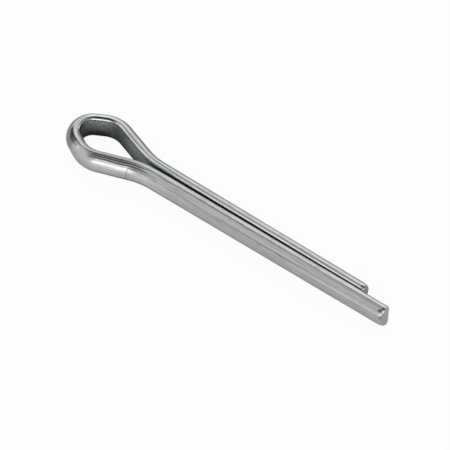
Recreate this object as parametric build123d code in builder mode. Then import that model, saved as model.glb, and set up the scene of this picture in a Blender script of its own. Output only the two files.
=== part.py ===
from build123d import *
from math import radians, tan
import os

# Cotter pin: one length of half-round steel wire, bent double into an eye and two legs.
# One leg is cut longer than the other, so that the legs are easy to part.
# The origin is on the pin's axis at its seat, where the straight legs leave the eye.
# +X runs along the legs to their ends, and the eye lies flat in the XY plane.

# Driving dimensions in millimetres
shank_dia = 4.4  # over both legs, half-way along the long one
short_leg_length = 38.1  # from the seat to the end of the short leg
long_leg_extra = 5.27  # how far the long leg reaches past the short one
gap_at_seat = 0.36  # between the flat sides of the legs, where they leave the eye
gap_at_tip = 0.03  # between them at the end of the long leg
wire_edge_radius = 0.5  # the two long edges of the wire
tip_edge_radius = 0.3  # the round side's edge at each cut end

# The eye's inner line, as the corners that its bends round off
neck_run = 2.035  # from the seat back to the corner of a neck bend
shoulder_back = 10.27  # from the seat back to the shoulders' corners
shoulder_half_width = 3.09  # from the pin's axis out to a shoulder's corner
crown_back = 15.82  # from the seat back to the crown's corner
shoulder_radius = 3.12  # inside each shoulder bend
crown_radius = 1.88  # inside the crown bend

# Sizes worked out from them
long_leg_length = short_leg_length + long_leg_extra
leg_drift = (gap_at_seat - gap_at_tip) / 2 / long_leg_length


def flat_offset(x):
    """How far a leg's flat side lies from the pin's axis at x along the leg."""
    return gap_at_tip / 2 + leg_drift * (long_leg_length - x)


# The round sides are centred on the pin's axis half-way along the long leg.
round_centre_inset = flat_offset(long_leg_length / 2)

long_tip = Vector(long_leg_length, -flat_offset(long_leg_length))
near_neck = Vector(-neck_run, -flat_offset(-neck_run))
near_shoulder = Vector(-shoulder_back, -shoulder_half_width)
crown = Vector(-crown_back, 0)
far_shoulder = Vector(-shoulder_back, shoulder_half_width)
far_neck = Vector(-neck_run, flat_offset(-neck_run))
short_tip = Vector(short_leg_length, flat_offset(short_leg_length))

# A neck bend starts at the seat, so its radius follows from its run and its turn.
seat_point = Vector(0, -flat_offset(0))
neck_turn = (near_neck - long_tip).get_angle(near_shoulder - near_neck)
neck_radius = (seat_point - near_neck).length / tan(radians(neck_turn) / 2)

# The wire, bent along the line of its flat side from the long leg's end to the short leg's end
with BuildPart() as cotter_pin:
    with BuildLine() as flat_line:
        FilletPolyline(
            long_tip,
            near_neck,
            near_shoulder,
            crown,
            far_shoulder,
            far_neck,
            short_tip,
            radius=[neck_radius, shoulder_radius, crown_radius, shoulder_radius, neck_radius],
        )
    # The section's local X points out of the flat side, and its local Y is up.
    end_plane = Plane(origin=flat_line.line @ 0, x_dir=(0, -1, 0), z_dir=flat_line.line % 0)
    with BuildSketch(end_plane) as section:
        with Locations((-round_centre_inset, 0)):
            Circle(shank_dia / 2)
        split(bisect_by=Plane.YZ, keep=Keep.TOP)
        fillet(section.vertices(), wire_edge_radius)
    sweep(path=flat_line.line)

    # The cut ends are square, with the edge of the round side rolled over by the shear.
    cut_ends = cotter_pin.faces().filter_by(GeomType.PLANE).sort_by(Axis.X)[-2:]
    rolled_edges = cut_ends.edges().filter_by(GeomType.CIRCLE)
    fillet(rolled_edges, tip_edge_radius)

cotter_pin.part.label = "cotter_pin"
os.makedirs("parts", exist_ok=True)
export_step(cotter_pin.part, "parts/cotter_pin.step")
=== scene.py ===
"""Looks of a cotter pin: zinc-plated half-round wire, bent double into an eye and two legs."""

import math
from typing import Callable, NamedTuple, Optional

import bpy
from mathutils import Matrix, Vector

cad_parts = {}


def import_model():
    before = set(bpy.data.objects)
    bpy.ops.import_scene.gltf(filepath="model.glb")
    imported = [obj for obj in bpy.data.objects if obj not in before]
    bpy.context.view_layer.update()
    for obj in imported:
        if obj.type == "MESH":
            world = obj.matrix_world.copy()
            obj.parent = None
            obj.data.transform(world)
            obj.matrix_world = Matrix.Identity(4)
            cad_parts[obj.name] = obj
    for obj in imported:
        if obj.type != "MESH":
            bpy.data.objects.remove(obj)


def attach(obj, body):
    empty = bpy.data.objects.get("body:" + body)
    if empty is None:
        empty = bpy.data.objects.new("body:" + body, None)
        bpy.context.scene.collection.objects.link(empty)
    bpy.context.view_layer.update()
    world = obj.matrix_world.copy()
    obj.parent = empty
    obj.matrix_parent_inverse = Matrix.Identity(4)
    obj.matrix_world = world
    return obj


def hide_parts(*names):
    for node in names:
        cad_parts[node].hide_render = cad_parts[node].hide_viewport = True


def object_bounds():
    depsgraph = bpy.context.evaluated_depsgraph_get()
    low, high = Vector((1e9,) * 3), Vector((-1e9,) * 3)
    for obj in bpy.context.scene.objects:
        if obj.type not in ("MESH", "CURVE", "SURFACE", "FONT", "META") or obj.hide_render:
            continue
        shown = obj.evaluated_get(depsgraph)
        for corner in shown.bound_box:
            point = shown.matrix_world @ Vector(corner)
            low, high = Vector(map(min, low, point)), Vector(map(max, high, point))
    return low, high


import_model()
CAD_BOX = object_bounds()

# Sizes of the pin in metres, the same as the solid's
MM = 0.001
SHANK_RADIUS = 2.2 * MM
SHORT_LEG = 38.1 * MM
LONG_LEG = 43.37 * MM
GAP_AT_SEAT = 0.36 * MM
GAP_AT_TIP = 0.03 * MM
WIRE_EDGE_RADIUS = 0.5 * MM
NECK_RUN = 2.035 * MM
SHOULDER_BACK = 10.27 * MM
SHOULDER_HALF_WIDTH = 3.09 * MM
CROWN_BACK = 15.82 * MM
SHOULDER_RADIUS = 3.12 * MM
CROWN_RADIUS = 1.88 * MM

# The photograph's view: a square image with no perspective, and angles in degrees to the camera
PHOTO_PIXELS = 450
PIXELS_PER_MM = 6.766
SEAT_PIXEL = (157.0, 175.78)
VIEW_AZIMUTH = -52.395
VIEW_ELEVATION = 50.784
CAMERA_DISTANCE = 400 * MM
CAMERA_CLIP = (10 * MM, 2000 * MM)


class Signal:
    """An output socket of a node. Arithmetic on it adds Math nodes to its tree."""

    def __init__(self, socket):
        self.socket = socket

    def math(self, operation, *values):
        settings = {"operation": operation}
        return Nodes(self.socket.id_data).add("ShaderNodeMath", settings, dict(enumerate(values)))

    def __add__(self, other):
        return self.math("ADD", self, other)

    def __radd__(self, other):
        return self.math("ADD", other, self)

    def __sub__(self, other):
        return self.math("SUBTRACT", self, other)

    def __rsub__(self, other):
        return self.math("SUBTRACT", other, self)

    def __mul__(self, other):
        return self.math("MULTIPLY", self, other)

    def __rmul__(self, other):
        return self.math("MULTIPLY", other, self)

    def __truediv__(self, other):
        return self.math("DIVIDE", self, other)

    def __rtruediv__(self, other):
        return self.math("DIVIDE", other, self)

    def smooth_step(self, start, end):
        """0 before start, 1 after end, and a smooth rise between."""
        settings = {"interpolation_type": "SMOOTHSTEP"}
        inputs = {"Value": self, "From Min": start, "From Max": end}
        return Nodes(self.socket.id_data).add("ShaderNodeMapRange", settings, inputs)


def set_stops(ramp, stops):
    """Gives a colour ramp its (place, level) stops."""
    while len(ramp.elements) > 1:
        ramp.elements.remove(ramp.elements[-1])
    for index, (place, level) in enumerate(stops):
        stop = ramp.elements.new(place) if index else ramp.elements[0]
        stop.position = place
        stop.color = (level, level, level, 1)


class Nodes:
    """A node tree, with one method that adds any node to it."""

    def __init__(self, tree):
        self.tree = tree

    def add(self, kind, settings=None, inputs=None, output=0):
        """Adds a node: its settings first, then the values or links of its sockets."""
        node = self.tree.nodes.new(kind)
        for name, value in (settings or {}).items():
            if name == "stops":
                set_stops(node.color_ramp, value)
            else:
                setattr(node, name, value)
        for key, value in (inputs or {}).items():
            if isinstance(value, Signal):
                self.tree.links.new(value.socket, node.inputs[key])
            else:
                node.inputs[key].default_value = value
        return Signal(node.outputs[output]) if node.outputs else None


def component(nodes, vector, axis):
    """The X, Y or Z of a vector."""
    return nodes.add("ShaderNodeSeparateXYZ", None, {"Vector": vector}, axis)


def at_least(least, level):
    """A level between 0 and 1, lifted so that it starts at the least."""
    return least + (1 - least) * level


# The wire's own shape

def flat_offset(x):
    """How far a leg's flat side lies from the pin's axis at x along the leg."""
    drift = (GAP_AT_SEAT - GAP_AT_TIP) / 2 / LONG_LEG
    return GAP_AT_TIP / 2 + drift * (LONG_LEG - x)


ROUND_CENTRE_INSET = flat_offset(LONG_LEG / 2)


def flat_line_corners():
    """Corners of the bent line of the wire's flat side, each with the radius of its bend."""
    neck_y = flat_offset(-NECK_RUN)
    neck_turn = math.atan2(SHOULDER_HALF_WIDTH - neck_y, SHOULDER_BACK - NECK_RUN)
    neck_turn -= math.atan2(neck_y - flat_offset(0), NECK_RUN)
    neck_radius = NECK_RUN / math.tan(neck_turn / 2)
    return [
        (LONG_LEG, -flat_offset(LONG_LEG), 0),
        (-NECK_RUN, -neck_y, neck_radius),
        (-SHOULDER_BACK, -SHOULDER_HALF_WIDTH, SHOULDER_RADIUS),
        (-CROWN_BACK, 0, CROWN_RADIUS),
        (-SHOULDER_BACK, SHOULDER_HALF_WIDTH, SHOULDER_RADIUS),
        (-NECK_RUN, neck_y, neck_radius),
        (SHORT_LEG, flat_offset(SHORT_LEG), 0),
    ]


ARC_STEPS = 72
CORNER_STEPS = 10
FLAT_STEPS = 12


def section_outline():
    """Outline of the half-round wire as (depth from the flat side, height) points."""
    inner = SHANK_RADIUS - WIRE_EDGE_RADIUS
    corner_depth = WIRE_EDGE_RADIUS
    corner_height = math.sqrt(inner**2 - (corner_depth + ROUND_CENTRE_INSET) ** 2)
    corner_angle = math.atan2(corner_height, corner_depth + ROUND_CENTRE_INSET)
    points = []
    for step in range(FLAT_STEPS):
        points.append((0, corner_height * (2 * step / FLAT_STEPS - 1)))
    for step in range(CORNER_STEPS):
        angle = math.pi + (corner_angle - math.pi) * step / CORNER_STEPS
        depth = corner_depth + WIRE_EDGE_RADIUS * math.cos(angle)
        points.append((depth, corner_height + WIRE_EDGE_RADIUS * math.sin(angle)))
    for step in range(ARC_STEPS):
        angle = corner_angle * (1 - 2 * step / ARC_STEPS)
        depth = SHANK_RADIUS * math.cos(angle) - ROUND_CENTRE_INSET
        points.append((depth, SHANK_RADIUS * math.sin(angle)))
    for step in range(CORNER_STEPS):
        angle = -corner_angle - (math.pi - corner_angle) * step / CORNER_STEPS
        depth = corner_depth + WIRE_EDGE_RADIUS * math.cos(angle)
        points.append((depth, -corner_height + WIRE_EDGE_RADIUS * math.sin(angle)))
    return points


def poly_curve(name, points, cyclic=False):
    """A curve object with one poly spline through (x, y, radius) points."""
    data = bpy.data.curves.new(name, "CURVE")
    data.dimensions = "3D"
    spline = data.splines.new("POLY")
    spline.points.add(len(points) - 1)
    spline.use_cyclic_u = cyclic
    for point, (x, y, radius) in zip(spline.points, points):
        point.co = (x, y, 0, 1)
        point.radius = radius
    obj = bpy.data.objects.new(name, data)
    bpy.context.scene.collection.objects.link(obj)
    return obj


STATIONS = 880
BEND_STEPS = 48
# How much closer the stations stand at the ends and the crown than half-way along the legs
CROWDING = 0.8

# The shear rolls the round side over at each cut end, and more at the long leg's
ROLL_LENGTH = 1.0 * MM
LONG_ROLL_DEPTH = 0.5 * MM
SHORT_ROLL_DEPTH = 0.22 * MM
FLAT_ROLL_DEPTH = 0.02 * MM
ROLL_UNEVENNESS = 0.35
UNEVEN_SCALE = 1.6 / MM
CORE_DEPTH = 0.85 * MM
# The round side begins and is in full at these depths from the flat side
ROUND_SIDE_DEPTHS = (0.6 * MM, 1.5 * MM)
# The roll is weaker low on the wire, and in full from the second height up
LOW_ROLL_SHARE = 0.35
ROLL_HEIGHTS = (-1.0 * MM, 0.8 * MM)
# The cuts lean back below, by this much for each unit down from the top of the wire
CUT_LEAN = 0.07
LEAN_LENGTH = 1.5 * MM
# The mark that the bending tool left across the long leg's side of the eye
MARK_PLACE = 47.75 * MM
MARK_HALF_WIDTH = 0.16 * MM
MARK_DEPTH = 0.045 * MM
# Heights between which the mark rises from nothing at its foot and fades out again at its head
MARK_FOOT = (-1.2 * MM, -0.6 * MM)
MARK_HEAD = (1.15 * MM, 1.5 * MM)


def tree_inputs(tree, rows):
    """Gives a geometry tree its named inputs. Returns their signals and their identifiers."""
    identifiers = {}
    for name, kind, default in rows:
        socket = tree.interface.new_socket(name, in_out="INPUT", socket_type=kind)
        if default is not None:
            socket.default_value = default
        identifiers[name] = socket.identifier
    given = tree.nodes.new("NodeGroupInput").outputs
    return {socket.name: Signal(socket) for socket in given if socket.name}, identifiers


def stored(nodes, geometry, name, kind, value):
    """A geometry with a value kept at each of its points under a name."""
    settings = {"data_type": kind, "domain": "POINT"}
    inputs = {"Geometry": geometry, "Name": name, "Value": value}
    return nodes.add("GeometryNodeStoreNamedAttribute", settings, inputs)


def named(nodes, name, kind):
    """A value that stored() kept."""
    return nodes.add("GeometryNodeInputNamedAttribute", {"data_type": kind}, {"Name": name})


def wire_path(nodes, given):
    """The bent line as a curve of stations that know their length along the wire, and its length."""
    bend_radius = nodes.add("GeometryNodeInputRadius")
    bent = nodes.add(
        "GeometryNodeFilletCurve",
        {"mode": "POLY"},
        {"Curve": given["Flat Line"], "Count": given["Bend Steps"], "Radius": bend_radius},
    )
    length = nodes.add("GeometryNodeCurveLength", None, {"Curve": bent})
    path = nodes.add("GeometryNodeCurvePrimitiveLine")
    path = nodes.add(
        "GeometryNodeResampleCurve",
        {"mode": "COUNT"},
        {"Curve": path, "Count": given["Stations"]},
    )
    turn = nodes.add("GeometryNodeSplineParameter") * (4 * math.pi)
    share = (turn - given["Crowding"] * turn.math("SINE", turn)) / (4 * math.pi)
    path = stored(nodes, path, "along", "FLOAT", share * length)
    place = nodes.add(
        "GeometryNodeSampleCurve",
        {"mode": "FACTOR", "use_all_curves": True},
        {"Curves": bent, "Factor": share},
        "Position",
    )
    path = nodes.add("GeometryNodeSetPosition", None, {"Geometry": path, "Position": place})
    path = nodes.add("GeometryNodeSetCurveNormal", {"mode": "Z_UP"}, {"Curve": path})
    path = nodes.add("GeometryNodeSetCurveRadius", None, {"Curve": path, "Radius": 1.0})
    return path, length


def wire_profile(nodes, given):
    """The section as a closed curve that knows each point's depth and height."""
    profile = nodes.add(
        "GeometryNodeObjectInfo",
        {"transform_space": "ORIGINAL"},
        {"Object": given["Section"]},
        "Geometry",
    )
    place = nodes.add(
        "ShaderNodeVectorMath",
        {"operation": "SCALE"},
        {"Vector": nodes.add("GeometryNodeInputPosition"), "Scale": -1.0},
    )
    profile = stored(nodes, profile, "section_place", "FLOAT_VECTOR", place)
    return nodes.add("GeometryNodeSetCurveRadius", None, {"Curve": profile, "Radius": 1.0})


def roll_inset(nodes, given, section_place, depth, height, from_end, side):
    """How far the roll at a cut end draws a point in towards the wire's core."""
    on_short_leg = side.math("GREATER_THAN", side, 0)
    round_depth = given["Long Roll Depth"]
    round_depth = round_depth + on_short_leg * (given["Short Roll Depth"] - round_depth)
    flat_depth = given["Flat Roll Depth"]
    rolled = depth.smooth_step(*ROUND_SIDE_DEPTHS)
    rolled = rolled * at_least(LOW_ROLL_SHARE, height.smooth_step(*ROLL_HEIGHTS))
    noise_inputs = {"Vector": section_place, "Scale": UNEVEN_SCALE}
    uneven = nodes.add("ShaderNodeTexNoise", {"noise_dimensions": "3D"}, noise_inputs, "Fac")
    roll_depth = flat_depth + (round_depth - flat_depth) * rolled
    roll_depth = roll_depth * (1 + given["Roll Unevenness"] * (uneven - 0.5))
    remaining = from_end.math("MAXIMUM", 1 - from_end / given["Roll Length"], 0)
    return roll_depth * (1 - remaining.math("SQRT", 1 - remaining * remaining))


def mark_inset(given, along, depth, height):
    """How far the bending tool's mark draws a point in towards the wire's core."""
    from_mark = along.math("ABSOLUTE", along - given["Mark Place"])
    mark = 1 - from_mark.smooth_step(0.0, given["Mark Half Width"])
    mark = mark * (height.smooth_step(*MARK_FOOT) - height.smooth_step(*MARK_HEAD))
    return given["Mark Depth"] * mark * depth.smooth_step(*ROUND_SIDE_DEPTHS)


WIRE_INPUTS = (
    ("Flat Line", "NodeSocketGeometry", None),
    ("Section", "NodeSocketObject", None),
    ("Stations", "NodeSocketInt", STATIONS),
    ("Bend Steps", "NodeSocketInt", BEND_STEPS),
    ("Crowding", "NodeSocketFloat", CROWDING),
    ("Roll Length", "NodeSocketFloat", ROLL_LENGTH),
    ("Long Roll Depth", "NodeSocketFloat", LONG_ROLL_DEPTH),
    ("Short Roll Depth", "NodeSocketFloat", SHORT_ROLL_DEPTH),
    ("Flat Roll Depth", "NodeSocketFloat", FLAT_ROLL_DEPTH),
    ("Roll Unevenness", "NodeSocketFloat", ROLL_UNEVENNESS),
    ("Core Depth", "NodeSocketFloat", CORE_DEPTH),
    ("Cut Lean", "NodeSocketFloat", CUT_LEAN),
    ("Lean Length", "NodeSocketFloat", LEAN_LENGTH),
    ("Mark Place", "NodeSocketFloat", MARK_PLACE),
    ("Mark Half Width", "NodeSocketFloat", MARK_HALF_WIDTH),
    ("Mark Depth", "NodeSocketFloat", MARK_DEPTH),
    ("Finish", "NodeSocketMaterial", None),
)


def wire_tree():
    """Geometry nodes that carry the section along the bent line, roll its cut ends over and mark it."""
    tree = bpy.data.node_groups.new("bent_wire", "GeometryNodeTree")
    given, identifiers = tree_inputs(tree, WIRE_INPUTS)
    tree.interface.new_socket("Wire", in_out="OUTPUT", socket_type="NodeSocketGeometry")
    nodes = Nodes(tree)
    path, length = wire_path(nodes, given)
    wire = nodes.add(
        "GeometryNodeCurveToMesh",
        None,
        {"Curve": path, "Profile Curve": wire_profile(nodes, given), "Fill Caps": True},
    )

    along = named(nodes, "along", "FLOAT")
    section_place = named(nodes, "section_place", "FLOAT_VECTOR")
    depth = component(nodes, section_place, "X")
    height = component(nodes, section_place, "Y")
    from_end = along.math("MINIMUM", along, length - along)
    side = along.math("SIGN", along - length / 2)

    inset = roll_inset(nodes, given, section_place, depth, height, from_end, side)
    inset = inset + mark_inset(given, along, depth, height)
    depth_to_core = given["Core Depth"] - depth
    to_core = depth.math("SQRT", depth_to_core * depth_to_core + height * height)
    leaning = 1 - from_end.smooth_step(0.0, given["Lean Length"])
    shift = {
        "X": given["Cut Lean"] * (height - SHANK_RADIUS) * leaning,
        "Y": side * depth_to_core * inset / to_core,
        "Z": 0 - height * inset / to_core,
    }
    shift = nodes.add("ShaderNodeCombineXYZ", None, shift)
    wire = nodes.add("GeometryNodeSetPosition", None, {"Geometry": wire, "Offset": shift})

    place = {"X": along / MM, "Y": depth / MM, "Z": height / MM}
    place = nodes.add("ShaderNodeCombineXYZ", None, place)
    wire = stored(nodes, wire, "wire_mm", "FLOAT_VECTOR", place)
    wire = stored(nodes, wire, "end_mm", "FLOAT", from_end / MM)
    for helper in ("along", "section_place"):
        wire = nodes.add("GeometryNodeRemoveAttribute", None, {"Geometry": wire, "Name": helper})
    wire = nodes.add("GeometryNodeRealizeInstances", None, {"Geometry": wire})
    finish = {"Geometry": wire, "Material": given["Finish"]}
    wire = nodes.add("GeometryNodeSetMaterial", None, finish)
    out = tree.nodes.new("NodeGroupOutput")
    tree.links.new(wire.socket, out.inputs[0])
    return tree, identifiers


def evaluated_mesh(carrier, tree, values, identifiers, name):
    """Runs a geometry tree on the carrier and returns its result as a plain mesh object."""
    modifier = carrier.modifiers.new(name, "NODES")
    modifier.node_group = tree
    for key, value in values.items():
        modifier[identifiers[key]] = value
    graph = bpy.context.evaluated_depsgraph_get()
    mesh = bpy.data.meshes.new_from_object(carrier.evaluated_get(graph), depsgraph=graph)
    carrier.modifiers.remove(modifier)
    mesh.name = name
    piece = bpy.data.objects.new(name, mesh)
    bpy.context.scene.collection.objects.link(piece)
    return piece


# The zinc finish, with painted highlights, reflections and shade in its colour

ZINC_COLOUR = (0.41, 0.417, 0.427, 1)
# The flat side's colour is painted shade: far darker than the zinc, for the shade between the legs and
# inside the eye
SHADED_FLAT_ZINC_COLOUR = (0.116, 0.129, 0.129, 1)
GLANCING_TINT = (0.72, 0.73, 0.73, 1)

# Places along the wire are in mm from the long leg's end. Its neck is at 43 to 47 and its shoulder at
# 53 to 55, the crown at 57 to 61, the short leg's shoulder at 63 to 65 and its neck at 70 to 74.
# The tables by place are colour ramps over this length
RAMP_LENGTH = 120.0

# A painted dark line beside the edges, for dark reflections: mm along the wire, depth in mm, and share
EDGE_REFLECTION_LINE = (
    (0.0, 0.78, 0.0),
    (44.0, 0.78, 0.05),
    (47.0, 0.79, 0.2),
    (53.0, 0.82, 0.3),
    (53.8, 0.86, 0.5),
    (54.4, 0.89, 0.5),
    (55.3, 1.02, 0.5),
    (55.9, 1.14, 0.55),
    (56.3, 1.16, 0.75),
    (57.4, 1.16, 0.7),
    (57.8, 1.20, 0.4),
    (58.4, 1.30, 0.25),
    (59.0, 1.30, 0.0),
    (59.6, 0.30, 0.0),
    (60.2, 0.30, 0.6),
    (61.0, 0.36, 1.0),
    (61.6, 0.40, 1.0),
    (62.5, 0.37, 1.0),
    (63.7, 0.32, 0.95),
    (64.2, 0.42, 0.3),
    (65.5, 0.56, 0.5),
    (67.0, 0.48, 0.7),
    (69.0, 0.46, 0.62),
    (71.0, 0.50, 0.3),
    (73.0, 0.56, 0.3),
    (75.0, 0.54, 0.5),
    (77.5, 0.44, 0.55),
    (80.0, 0.39, 0.55),
    (112.0, 0.38, 0.55),
)
# How far that line reaches to each side: mm along the wire, and mm
EDGE_REFLECTION_LINE_HALF_WIDTH = (
    (0.0, 0.26),
    (53.4, 0.26),
    (54.2, 0.14),
    (55.6, 0.14),
    (56.2, 0.16),
    (58.4, 0.16),
    (59.6, 0.26),
)
# How far the flat side's painted shade reaches round the edges: mm along the wire, and depth in mm
FLAT_REACH = (
    (0.0, 0.20),
    (4.5, 0.20),
    (6.5, 0.15),
    (8.0, 0.15),
    (12.0, 0.27),
    (22.0, 0.27),
    (27.0, 0.15),
    (31.0, 0.09),
    (36.0, 0.11),
    (40.0, 0.15),
    (43.0, 0.34),
    (45.5, 0.34),
    (47.0, 0.28),
    (54.0, 0.28),
    (55.4, 0.32),
    (56.0, 0.44),
    (56.9, 0.42),
    (58.0, 0.08),
    (60.3, 0.03),
    (63.0, 0.03),
    (64.6, 0.17),
    (65.6, 0.22),
    (67.5, 0.21),
    (70.0, 0.18),
    (72.0, 0.24),
    (75.5, 0.25),
    (77.5, 0.12),
    (80.0, 0.05),
)
# How light the outer side of the bends and of the short leg is, as painted reflection, shade and light: mm
# along the wire, and times
OUTER_SIDE_PAINTED_LIGHT = (
    (0.0, 1.0),
    (55.7, 1.0),
    (56.4, 0.62),
    (57.8, 0.62),
    (59.0, 0.38),
    (60.0, 0.28),
    (61.5, 0.26),
    (62.5, 0.4),
    (63.6, 0.36),
    (65.5, 0.15),
    (70.0, 0.16),
    (75.0, 0.36),
    (80.0, 0.66),
    (88.0, 0.98),
    (96.0, 1.24),
    (100.0, 1.2),
    (108.0, 0.92),
    (111.0, 0.8),
)
# A painted highlight on the outer side about the long leg's side of the eye: mm along the wire, and times
PAINTED_HIGHLIGHT_SIDE = (
    (0.0, 1.0),
    (38.0, 1.0),
    (42.0, 1.2),
    (44.0, 1.45),
    (45.5, 1.4),
    (46.6, 1.32),
    (47.6, 1.3),
    (47.8, 1.42),
    (51.5, 1.42),
    (52.7, 1.4),
    (53.6, 1.1),
    (55.0, 1.0),
)
# A seam that the die left along the long leg: mm along the wire, and height in mm
DIE_SEAM = (
    (0.0, 1.60),
    (4.0, 1.55),
    (9.0, 1.42),
    (15.0, 1.32),
    (24.0, 1.20),
    (34.0, 1.20),
    (40.0, 1.30),
    (44.0, 1.35),
)


def after(start, end):
    """The zone past start, in full from end on."""
    return lambda value: value.smooth_step(start, end)


def before(start, end):
    """The zone up to end, in full as far as start."""
    return lambda value: 1 - value.smooth_step(start, end)


def within(start, end, soft, soft_end=None):
    """The zone from start to end, with soft edges inside the two."""
    full_from = start + soft
    full_to = end - (soft_end or soft)
    return lambda value: value.smooth_step(start, full_from) * (1 - value.smooth_step(full_to, end))


def near(centre, half_width):
    """The zone about a centre, in full there and gone past the half width."""
    return lambda value: 1 - value.math("ABSOLUTE", value - centre).smooth_step(0.0, half_width)


Zone = Optional[Callable]


class Mark(NamedTuple):
    """A mark: the share of light that it adds, below zero where it is dull, and its zones on the wire."""

    share: float
    along: Zone = None
    depth: Zone = None
    height: Zone = None
    rise: Zone = None
    from_end: Zone = None


class Texture(NamedTuple):
    """A noise: its scales along and across the wire per mm, and the levels that become 0 and 1."""

    along_scale: float
    across_scale: float
    contrast: Optional[tuple] = None
    detail: float = 2.0
    roughness: float = 0.5


# Streaks and dashes that the drawing die left along the wire
DIE_LINES = Texture(0.05, 3.0, contrast=(0.4, 0.6), detail=1.0)
LONG_STREAKS = Texture(0.10, 4.5, contrast=(0.34, 0.66))
FINE_STREAKS = Texture(0.45, 11.0, contrast=(0.34, 0.66))
DASHES = Texture(0.5, 5.0, contrast=(0.64, 0.70), detail=1.0)
# Softer unevenness of the zinc, of the grooves, of the seam and of the marks
CLOUDS = Texture(0.35, 0.5)
GROOVE_WANDER = Texture(0.3, 0.8, detail=1.0)
SEAM_BREAKS = Texture(0.6, 1.5, contrast=(0.35, 0.65))
MOTTLING = Texture(1.0, 2.5, contrast=(0.35, 0.65))
ROLL_SHADE_STREAKS = Texture(0.9, 4.0, contrast=(0.3, 0.6), detail=1.0)
# The flat side's grain, and the lines of the shear on the cut ends
GRAIN = Texture(3.4, 3.4, contrast=(0.3, 0.7), detail=3.0, roughness=0.6)
SHEAR_LINES = Texture(6.0, 6.0)

# Zones that several marks share
ON_LONG_LEG = before(38.0, 44.0)
ON_SHORT_LEG = after(74.0, 80.0)
ON_SHORT_HALF = after(50.0, 60.0)
ON_EDGES = after(1.2, 1.5)

# The drawn zinc before any mark: its level, and what the streaks, clouds, dashes and die lines change
DRAWN_LEVEL = 0.86
LONG_STREAK_SHADE = 0.15
FINE_STREAK_SHADE = 0.09
CLOUD_SHADE = 0.08
DASH_DULLING = 0.33
DIE_LINE_SHADE = 0.1

# Where the two tables of the outer side hold, and the lower part of the back that the first one spares
OUTER_DEPTHS = after(1.05, 1.6)
PAINTED_HIGHLIGHT_HEIGHTS = near(0.6, 1.3)
ON_BACK = after(58.0, 60.0)
LOW_ON_BACK = before(0.3, 1.1)

# The die's seam, faint where it breaks, and the paler zinc below it near the tip
SEAM = Mark(-0.2, along=ON_LONG_LEG)
SEAM_HALF_WIDTH = 0.24
SEAM_FAINTEST = 0.4
BELOW_SEAM = Mark(0.26, along=before(8.0, 26.0))
BELOW_SEAM_DROP = 0.38
BELOW_SEAM_HALF_WIDTH = 0.36

# Grooves along the long leg's side of the eye, and mottled painted shade beside them that dims the
# highlight
GROOVES = Mark(-0.7, along=within(43.0, 54.5, 2.0), depth=within(0.65, 1.6, 0.15), rise=ON_EDGES)
GROOVE_PITCH = 0.29
MOTTLED_HIGHLIGHT_DIMMING = Mark(-0.2, along=within(45.5, 53.5, 1.0), height=within(0.75, 1.8, 0.25))
MOTTLING_LEAST = 0.3

# Painted shade in streaks on the rolled-over end of the long leg
UPPER_ROLL_SHADE = Mark(
    -0.75,
    along=ON_LONG_LEG,
    depth=near(0.95, 0.24),
    height=after(0.9, 1.3),
    from_end=within(-0.1, 0.72, 0.2),
)
LOWER_ROLL_SHADE = UPPER_ROLL_SHADE._replace(depth=near(1.40, 0.26), from_end=within(0.25, 1.2, 0.25))
ROLL_SHADE_LEAST = 0.6

# The other marks on the round side, from the long leg to the short one
ROUND_SIDE_MARKS = (
    # The long leg: a painted highlight by the edges, painted shade on the rim and lip at its end, and
    # painted shade low on the outer side for the floor's shadow in reflection
    Mark(0.22, along=before(52.0, 55.0), depth=near(0.62, 0.25), rise=ON_EDGES),
    Mark(-0.65, along=before(3.5, 5.0), depth=near(0.22, 0.22), rise=ON_EDGES),
    Mark(-0.32, along=ON_LONG_LEG, height=within(0.2, 1.9, 0.4), from_end=before(0.3, 0.8)),
    Mark(-0.75, along=within(5.0, 56.0, 6.0), height=near(-1.0, 0.65)),
    # Its neck: a wide painted highlight on the rim, painted shade that dims the highlight as far as the
    # tool's mark, and the mark
    Mark(0.9, along=within(44.0, 47.8, 1.2), depth=near(0.79, 0.22), rise=ON_EDGES),
    Mark(-0.42, along=within(41.5, 47.75, 3.5, 0.25), height=within(1.1, 1.75, 0.35)),
    Mark(-0.115, along=within(45.5, 47.75, 0.8), height=within(0.75, 1.8, 0.25)),
    Mark(-0.3, along=near(MARK_PLACE / MM, 0.2), height=within(-0.9, 1.6, 0.6)),
    # From there to the crown: a painted dark reflection line on the rim, a painted pale band and a painted
    # dark band before the crown, and painted shade on the crown's inner rim
    Mark(-0.4, along=within(45.0, 56.0, 2.0), depth=near(0.36, 0.12), rise=ON_EDGES),
    Mark(0.38, along=within(54.7, 56.1, 0.35), depth=within(1.0, 1.75, 0.15)),
    Mark(-0.3, along=within(54.8, 57.5, 0.5), depth=near(0.46, 0.28), rise=ON_EDGES),
    Mark(-0.44, along=within(56.0, 57.3, 0.4), depth=within(1.05, 1.85, 0.15)),
    # Painted highlights by the edges of the crown and of the short leg's side of the eye
    Mark(0.45, along=within(56.8, 60.4, 0.6), depth=near(0.2, 0.3), rise=ON_EDGES),
    Mark(0.3, along=within(59.5, 64.0, 1.0), depth=near(0.13, 0.12), rise=ON_EDGES),
    Mark(0.48, along=within(63.0, 78.0, 3.0), depth=near(0.26, 0.2), rise=ON_EDGES),
    # The short leg: a painted highlight by the edges, and at its end painted shade for a notch in the edge
    # and a painted highlight beside it
    Mark(0.85, along=ON_SHORT_LEG, depth=near(0.17, 0.22), rise=ON_EDGES),
    Mark(-0.78, along=ON_SHORT_LEG, depth=near(0.5, 0.34), rise=ON_EDGES, from_end=before(0.35, 0.55)),
    Mark(0.85, along=ON_SHORT_LEG, depth=near(1.0, 0.36), rise=ON_EDGES, from_end=before(0.5, 0.7)),
)

# The flat side has painted shade, darker towards its lower edge and lighter towards its upper one, and it
# is grainy
FLAT_LOW_LEVEL = 0.35
FLAT_LEVEL_RISE = 1.15
FLAT_HEIGHTS = (-2.2, 2.2)
GRAIN_LOW_LEVEL = 0.55
GRAIN_LEVEL_RISE = 0.9
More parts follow.
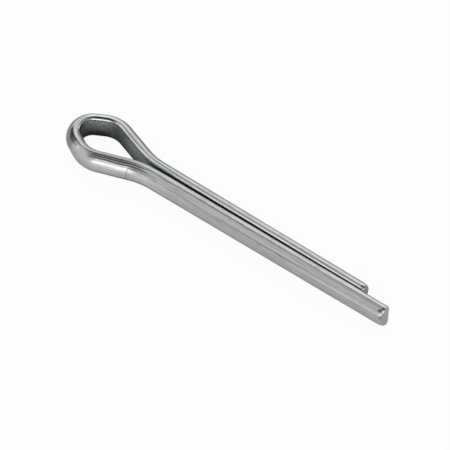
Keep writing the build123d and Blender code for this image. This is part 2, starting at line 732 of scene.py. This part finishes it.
# It fades into the round side between these shares of its reach
FLAT_FADE = (0.3, 1.7)
PAST_CROWN = near(61.5, 3.0)
# Painted light and shade on the flat side
FLAT_SIDE_MARKS = (
    # Inside the crown and past it: painted light above, painted shade below
    Mark(0.9, along=PAST_CROWN, height=after(-1.2, 1.2)),
    Mark(-0.5, along=PAST_CROWN, height=before(-1.5, -0.6)),
    Mark(-0.4, along=within(56.5, 63.5, 1.0), height=before(-1.3, 0.1)),
    Mark(-0.3, along=within(57.0, 59.6, 0.8), height=before(0.0, 0.5)),
    Mark(0.4, along=within(58.8, 66.8, 0.8), height=after(1.0, 1.4)),
    Mark(-0.2, along=PAST_CROWN, height=after(1.0, 1.4)),
    Mark(-0.25, along=within(55.0, 61.0, 2.0)),
    # The short leg's side of the eye, with painted light towards its neck
    Mark(-0.2, along=within(63.5, 67.0, 1.0)),
    Mark(0.6, along=within(66.0, 82.0, 3.0)),
    Mark(0.5, along=within(70.5, 80.0, 2.0), depth=before(0.005, 0.05)),
    # The long leg's end past the short leg: painted light on the flat and painted shade on its rim
    Mark(1.3, along=before(4.0, 7.0), depth=before(0.005, 0.08)),
    Mark(-0.7, along=before(4.0, 7.0), depth=after(0.005, 0.08)),
)

# The cut ends. The short leg's is darker, with a painted highlight for its lip
CUT_FADE = 0.004
CUT_LOW_LEVEL = 0.75
SHEAR_LINE_SHADE = 0.5
CUT_MARKS = (
    Mark(-0.3, along=ON_SHORT_HALF),
    Mark(0.7, along=ON_SHORT_HALF, height=after(1.1, 1.6)),
)
# Painted shade on the short leg's cut, by the corner with the flat side, lies below a ragged line: a
# (depth, height) on that line, and the rise across it
CUT_CORNER_SHADE = Mark(-0.5, along=ON_SHORT_HALF)
CORNER_SHADE_POINT = (0.0, 1.6)
CORNER_SHADE_RISE = (0.98, 0.63)
CORNER_SHADE_RAGGEDNESS = 0.5
CORNER_SHADE_FADE = before(0.1, 0.6)
LOW_CORNER_SHADE_FADE = before(-1.3, -0.2)
LOW_CORNER_SHADE_SHARE = 0.6
# A dark line under the lip, across a line like that, and a pale spot below the dark line
LIP_DARK_LINE = Mark(-0.9, along=ON_SHORT_HALF, depth=within(0.15, 1.3, 0.2))
LIP_LINE_POINT = (0.45, 1.9)
LIP_LINE_RISE = (0.5, 0.86)
LIP_DARK_LINE_WIDTH = within(-0.2, 0.24, 0.14)
PALE_SPOT = Mark(1.5, along=ON_SHORT_HALF, depth=within(0.2, 1.0, 0.25))
PALE_SPOT_WIDTH = near(-0.4, 0.26)

# Roughness and bumps of the round side, the flat side and the cut ends
ROUND_ROUGHNESS = 0.11
FINE_STREAK_ROUGHNESS = 0.08
FLAT_ROUGHNESS = 0.42
GRAIN_ROUGHNESS = 0.1
CUT_ROUGHNESS = 0.3
LONG_STREAK_BUMP = 0.6
FINE_STREAK_BUMP = 0.25
DASH_BUMP = -0.5
GRAIN_BUMP = 1.5
BUMP_DISTANCE = 0.006 * MM


class WirePlace:
    """Where a point of the finish lies on the wire, in mm. Its rise is its height without the sign."""

    def __init__(self, nodes):
        self.nodes = nodes
        self.place = nodes.add("ShaderNodeAttribute", {"attribute_name": "wire_mm"}, None, "Vector")
        self.along = component(nodes, self.place, "X")
        self.depth = component(nodes, self.place, "Y")
        self.height = component(nodes, self.place, "Z")
        self.rise = self.height.math("ABSOLUTE", self.height)
        self.from_end = nodes.add("ShaderNodeAttribute", {"attribute_name": "end_mm"}, None, "Fac")
        self.noises = {}

    def new_noise(self, texture):
        """A soft noise about 0.5, or between 0 and 1 where the texture has a contrast."""
        scale = (texture.along_scale, texture.across_scale, texture.across_scale)
        inputs = {0: self.place, 1: scale}
        place = self.nodes.add("ShaderNodeVectorMath", {"operation": "MULTIPLY"}, inputs)
        inputs = {"Vector": place, "Scale": 1.0, "Detail": texture.detail, "Roughness": texture.roughness}
        level = self.nodes.add("ShaderNodeTexNoise", {"noise_dimensions": "3D"}, inputs, "Fac")
        return level.smooth_step(*texture.contrast) if texture.contrast else level

    def noise(self, texture):
        """The noise of a texture, made once."""
        if texture not in self.noises:
            self.noises[texture] = self.new_noise(texture)
        return self.noises[texture]

    def level(self, rows):
        """A level that changes along the wire, from rows of mm along it and the level there."""
        highest = max(level for _, level in rows)
        stops = [(place / RAMP_LENGTH, level / highest) for place, level in rows]
        inputs = {"Fac": self.along / RAMP_LENGTH}
        return highest * self.nodes.add("ShaderNodeValToRGB", {"stops": stops}, inputs)

    def past_line(self, point, rise):
        """How far a point of a cut end lies past a line through a (depth, height) point."""
        return rise[0] * (self.depth - point[0]) + rise[1] * (self.height - point[1])

    def marked(self, shade, mark, cover=1.0):
        """A shade with a mark on it, as strong as the cover says."""
        for measure in ("along", "depth", "height", "rise", "from_end"):
            zone = getattr(mark, measure)
            if zone:
                cover = cover * zone(getattr(self, measure))
        return shade * (1 + mark.share * cover)


def mix_colour(nodes, factor, first, second):
    """Two colours mixed by a factor."""
    settings = {"data_type": "RGBA"}
    return nodes.add("ShaderNodeMix", settings, {0: factor, 6: first, 7: second}, 2)


def shaded(nodes, colour, shade):
    """A colour times a grey level."""
    grey = nodes.add("ShaderNodeCombineColor", None, {0: shade, 1: shade, 2: shade})
    settings = {"data_type": "RGBA", "blend_type": "MULTIPLY"}
    return nodes.add("ShaderNodeMix", settings, {0: 1.0, 6: colour, 7: grey}, 2)


def blend(factor, first, second):
    """The first value, or the second where the factor is 1."""
    return first + factor * (second - first)


def drawn_shade(wire):
    """How light the drawn zinc is before any mark."""
    shade = DRAWN_LEVEL + LONG_STREAK_SHADE * wire.noise(LONG_STREAKS)
    shade = shade + FINE_STREAK_SHADE * wire.noise(FINE_STREAKS)
    shade = shade + CLOUD_SHADE * wire.noise(CLOUDS)
    shade = shade * (1 - DASH_DULLING * wire.noise(DASHES))
    on_eye = (1 - ON_LONG_LEG(wire.along)) * (1 - ON_SHORT_LEG(wire.along))
    return shade * (1 + DIE_LINE_SHADE * (1 + on_eye) * (0.5 - wire.noise(DIE_LINES)))


def with_tables(wire, shade):
    """The painted dark reflection line beside the edges, and the outer side's painted highlight,
    reflection and shade, all by place along the wire.
    """
    line_depth = wire.level([(mm, depth) for mm, depth, _ in EDGE_REFLECTION_LINE])
    line_share = wire.level([(mm, share) for mm, _, share in EDGE_REFLECTION_LINE])
    line = near(line_depth, wire.level(EDGE_REFLECTION_LINE_HALF_WIDTH))(wire.depth)
    shade = shade * (1 - ON_EDGES(wire.rise) * line_share * line)
    outer = (wire.level(OUTER_SIDE_PAINTED_LIGHT) - 1) * OUTER_DEPTHS(wire.depth)
    spared = ON_BACK(wire.along) * LOW_ON_BACK(wire.height)
    shade = shade * (1 + outer * (1 - spared))
    return shade * (1 + (wire.level(PAINTED_HIGHLIGHT_SIDE) - 1) * PAINTED_HIGHLIGHT_HEIGHTS(wire.height))


def with_seam(wire, shade):
    """The die's seam along the long leg, and the paler zinc below it."""
    seam = wire.level(DIE_SEAM)
    line = near(seam, SEAM_HALF_WIDTH)(wire.height)
    shade = wire.marked(shade, SEAM, line * at_least(SEAM_FAINTEST, wire.noise(SEAM_BREAKS)))
    below = near(seam - BELOW_SEAM_DROP, BELOW_SEAM_HALF_WIDTH)(wire.height)
    return wire.marked(shade, BELOW_SEAM, below)


def round_side_shade(wire):
    """How light the round side is: what the die, the bending and the shear left on it, and painted
    highlights, reflections and shade.
    """
    shade = with_seam(wire, with_tables(wire, drawn_shade(wire)))
    turns = (wire.depth / GROOVE_PITCH + wire.noise(GROOVE_WANDER)) * (2 * math.pi)
    shade = wire.marked(shade, GROOVES, turns.math("SINE", turns))
    shade = wire.marked(shade, MOTTLED_HIGHLIGHT_DIMMING, at_least(MOTTLING_LEAST, wire.noise(MOTTLING)))
    for roll_shade in (UPPER_ROLL_SHADE, LOWER_ROLL_SHADE):
        shade = wire.marked(shade, roll_shade, at_least(ROLL_SHADE_LEAST, wire.noise(ROLL_SHADE_STREAKS)))
    for mark in ROUND_SIDE_MARKS:
        shade = wire.marked(shade, mark)
    return shade


def flat_side_shade(wire):
    """How light the flat side is: painted shade by height and place, and its grain."""
    shade = FLAT_LOW_LEVEL + FLAT_LEVEL_RISE * wire.height.smooth_step(*FLAT_HEIGHTS)
    for mark in FLAT_SIDE_MARKS:
        shade = wire.marked(shade, mark)
    return shade * (GRAIN_LOW_LEVEL + GRAIN_LEVEL_RISE * wire.noise(GRAIN))


def cut_shade(wire):
    """How light the cut ends are: shear lines, and on the short leg's cut a painted highlight at its lip,
    painted shade lower down and marks under the lip.
    """
    shear_lines = wire.noise(SHEAR_LINES)
    shade = CUT_LOW_LEVEL + SHEAR_LINE_SHADE * shear_lines
    for mark in CUT_MARKS:
        shade = wire.marked(shade, mark)
    past_shade_line = wire.past_line(CORNER_SHADE_POINT, CORNER_SHADE_RISE) + CORNER_SHADE_RAGGEDNESS * (shear_lines - 0.5)
    corner_shade = CORNER_SHADE_FADE(past_shade_line) - LOW_CORNER_SHADE_SHARE * LOW_CORNER_SHADE_FADE(past_shade_line)
    shade = wire.marked(shade, CUT_CORNER_SHADE, corner_shade)
    past_lip_line = wire.past_line(LIP_LINE_POINT, LIP_LINE_RISE)
    shade = wire.marked(shade, LIP_DARK_LINE, LIP_DARK_LINE_WIDTH(past_lip_line))
    return wire.marked(shade, PALE_SPOT, PALE_SPOT_WIDTH(past_lip_line))


def zinc_finish():
    """Satin zinc plating over drawn wire: streaks along the wire, a dull, grainy flat side, and painted
    highlights, reflections and shade in the colour.
    """
    material = bpy.data.materials.new("zinc_plate")
    material.use_nodes = True
    tree = material.node_tree
    nodes = Nodes(tree)
    shader = tree.nodes["Principled BSDF"]
    shader.inputs["Metallic"].default_value = 1.0
    shader.inputs["Specular Tint"].default_value = GLANCING_TINT

    wire = WirePlace(nodes)
    reach = wire.level(FLAT_REACH)
    flat = before(FLAT_FADE[0] * reach, FLAT_FADE[1] * reach)(wire.depth)
    cut = before(0.0, CUT_FADE)(wire.from_end)
    round_colour = shaded(nodes, ZINC_COLOUR, round_side_shade(wire))
    flat_colour = shaded(nodes, SHADED_FLAT_ZINC_COLOUR, flat_side_shade(wire))
    cut_colour = shaded(nodes, ZINC_COLOUR, cut_shade(wire))
    colour = mix_colour(nodes, flat, round_colour, flat_colour)
    colour = mix_colour(nodes, cut, colour, cut_colour)
    tree.links.new(colour.socket, shader.inputs["Base Color"])

    fine_streaks = wire.noise(FINE_STREAKS)
    grain = wire.noise(GRAIN)
    round_rough = ROUND_ROUGHNESS + FINE_STREAK_ROUGHNESS * fine_streaks
    rough = blend(flat, round_rough, FLAT_ROUGHNESS + GRAIN_ROUGHNESS * grain)
    rough = blend(cut, rough, CUT_ROUGHNESS)
    tree.links.new(rough.socket, shader.inputs["Roughness"])

    bumps = LONG_STREAK_BUMP * wire.noise(LONG_STREAKS) + FINE_STREAK_BUMP * fine_streaks
    bumps = bumps + DASH_BUMP * wire.noise(DASHES)
    bumps = blend(flat, bumps, GRAIN_BUMP * grain)
    bump_inputs = {"Strength": 1.0, "Distance": BUMP_DISTANCE, "Height": bumps}
    bump = nodes.add("ShaderNodeBump", None, bump_inputs, "Normal")
    tree.links.new(bump.socket, shader.inputs["Normal"])
    return material


def make_wire():
    """The bent wire, in place of the plain solid."""
    carrier = poly_curve("flat_line", flat_line_corners())
    outline = [(-depth, height, 1) for depth, height in section_outline()]
    section = poly_curve("wire_section", outline, cyclic=True)
    tree, identifiers = wire_tree()
    values = {"Section": section, "Finish": zinc_finish()}
    wire = evaluated_mesh(carrier, tree, values, identifiers, "bent_wire")
    for helper in (carrier, section):
        bpy.data.objects.remove(helper)
    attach(wire, "root")
    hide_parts("cotter_pin")


def direction(azimuth, elevation):
    """A unit vector from an azimuth, counted from +X towards +Y, and an elevation, in degrees."""
    azimuth = math.radians(azimuth)
    elevation = math.radians(elevation)
    flat = math.cos(elevation)
    return Vector((math.cos(azimuth) * flat, math.sin(azimuth) * flat, math.sin(elevation)))


def make_camera():
    """An orthographic camera at the photograph's angle and framing."""
    back = direction(VIEW_AZIMUTH, VIEW_ELEVATION)
    turn = (-back).to_track_quat("-Z", "Y")
    right = turn @ Vector((1, 0, 0))
    up = turn @ Vector((0, 1, 0))
    metres_per_pixel = MM / PIXELS_PER_MM
    half = PHOTO_PIXELS / 2
    target = right * (half - SEAT_PIXEL[0]) * metres_per_pixel
    target += up * (SEAT_PIXEL[1] - half) * metres_per_pixel
    data = bpy.data.cameras.new("camera")
    data.type = "ORTHO"
    data.ortho_scale = PHOTO_PIXELS * metres_per_pixel
    data.clip_start, data.clip_end = CAMERA_CLIP
    camera = bpy.data.objects.new("camera", data)
    camera.rotation_mode = "QUATERNION"
    camera.rotation_quaternion = turn
    camera.location = target + back * CAMERA_DISTANCE
    bpy.context.scene.collection.objects.link(camera)
    bpy.context.scene.camera = camera


# The floor's half width in metres
FLOOR_HALF_WIDTH = 1.5
FLOOR_COLOUR = (0.86, 0.86, 0.86, 1)
# Shares of plain white in the floor, as the camera and as reflections see it
FLOOR_SEEN_WHITE = 0.95
FLOOR_MIRRORED_WHITE = 0.6


def floor_paper():
    """White paper, seen partly as the studio lights it and partly as plain white."""
    material = bpy.data.materials.new("floor_paper")
    material.use_nodes = True
    tree = material.node_tree
    nodes = Nodes(tree)
    tree.nodes.remove(tree.nodes["Principled BSDF"])
    paper = nodes.add("ShaderNodeBsdfDiffuse", None, {"Color": FLOOR_COLOUR})
    white = nodes.add("ShaderNodeEmission", None, {"Color": (1, 1, 1, 1), "Strength": 1.0})
    share = FLOOR_SEEN_WHITE * nodes.add("ShaderNodeLightPath", None, None, "Is Camera Ray")
    for ray in ("Is Glossy Ray", "Is Transmission Ray"):
        mirrored = FLOOR_MIRRORED_WHITE * nodes.add("ShaderNodeLightPath", None, None, ray)
        share = share.math("MAXIMUM", share, mirrored)
    surface = nodes.add("ShaderNodeMixShader", None, {0: share, 1: paper, 2: white})
    tree.links.new(surface.socket, tree.nodes["Material Output"].inputs["Surface"])
    return material


def make_floor():
    """A pale floor under the pin."""
    low = CAD_BOX[0].z
    size = FLOOR_HALF_WIDTH
    mesh = bpy.data.meshes.new("floor")
    corners = [(-size, -size, low), (size, -size, low), (size, size, low), (-size, size, low)]
    mesh.from_pydata(corners, [], [(0, 1, 2, 3)])
    mesh.materials.append(floor_paper())
    floor = bpy.data.objects.new("floor", mesh)
    bpy.context.scene.collection.objects.link(floor)


# The studio: long panels over the pin, by angle from the +Y horizon over the top to the -Y horizon
STUDIO_PANELS = (
    (0, 1.3),
    (8, 1.25),
    (17, 1.15),
    (25, 1.0),
    (41, 1.0),
    (60, 0.95),
    (75, 0.9),
    (90, 0.95),
    (99, 1.1),
    (106, 0.65),
    (113, 0.45),
    (119, 0.75),
    (126, 0.95),
    (146, 1.2),
    (157, 1.0),
    (167, 0.7),
    (176, 1.05),
)
# Soft-edged discs: azimuth, elevation, inner and outer radius in degrees, and the share of light they take
STUDIO_SHADES = (
    (-89, 55, 12, 18, 0.57),
    (-173, 11, 16, 20.5, 0.8),
    (102, 20, 9, 27, 0.95),
    (158, 64, 10, 17, 0.3),
    (-102, 37, 10, 14, 0.4),
    (-115, 77, 9, 15, 0.5),
    (15, 35, 28, 55, 0.7),
)
# Discs like those, and the light that they add
STUDIO_LAMPS = (
    (-66, 6, 16.5, 31, 1.3),
    (165, 50, 17, 29, 0.62),
    (148, 16, 8, 18, 0.35),
    (-146, 44, 6, 13, 0.38),
    (115, 12, 18, 22, 1.35),
)


def soft_disc(nodes, ray, azimuth, elevation, inner, outer):
    """1 on a disc of the sky, 0 off it, with a soft edge."""
    axis = direction(azimuth, elevation)
    settings = {"operation": "DOT_PRODUCT"}
    nearness = nodes.add("ShaderNodeVectorMath", settings, {0: ray, 1: axis}, "Value")
    return nearness.smooth_step(math.cos(math.radians(outer)), math.cos(math.radians(inner)))


def make_world():
    """Plain soft studio light: bright panels with gaps between them."""
    world = bpy.data.worlds.new("studio")
    bpy.context.scene.world = world
    world.use_nodes = True
    tree = world.node_tree
    nodes = Nodes(tree)
    ray = nodes.add("ShaderNodeTexCoord", None, None, "Generated")
    ray_y = component(nodes, ray, "Y")
    ray_z = component(nodes, ray, "Z")
    over = ray_z.math("ARCTAN2", ray_z, ray_y) / math.pi
    brightest = max(level for _, level in STUDIO_PANELS)
    stops = [(angle / 180, level / brightest) for angle, level in STUDIO_PANELS]
    level = brightest * nodes.add("ShaderNodeValToRGB", {"stops": stops}, {"Fac": over})
    for *disc, share in STUDIO_SHADES:
        level = level * (1 - share * soft_disc(nodes, ray, *disc))
    for *disc, strength in STUDIO_LAMPS:
        level = level + strength * soft_disc(nodes, ray, *disc)
    background = tree.nodes["Background"]
    background.inputs["Color"].default_value = (1, 1, 1, 1)
    tree.links.new(level.socket, background.inputs["Strength"])


make_wire()
make_camera()
make_floor()
make_world()
bpy.context.scene.view_settings.view_transform = "Standard"
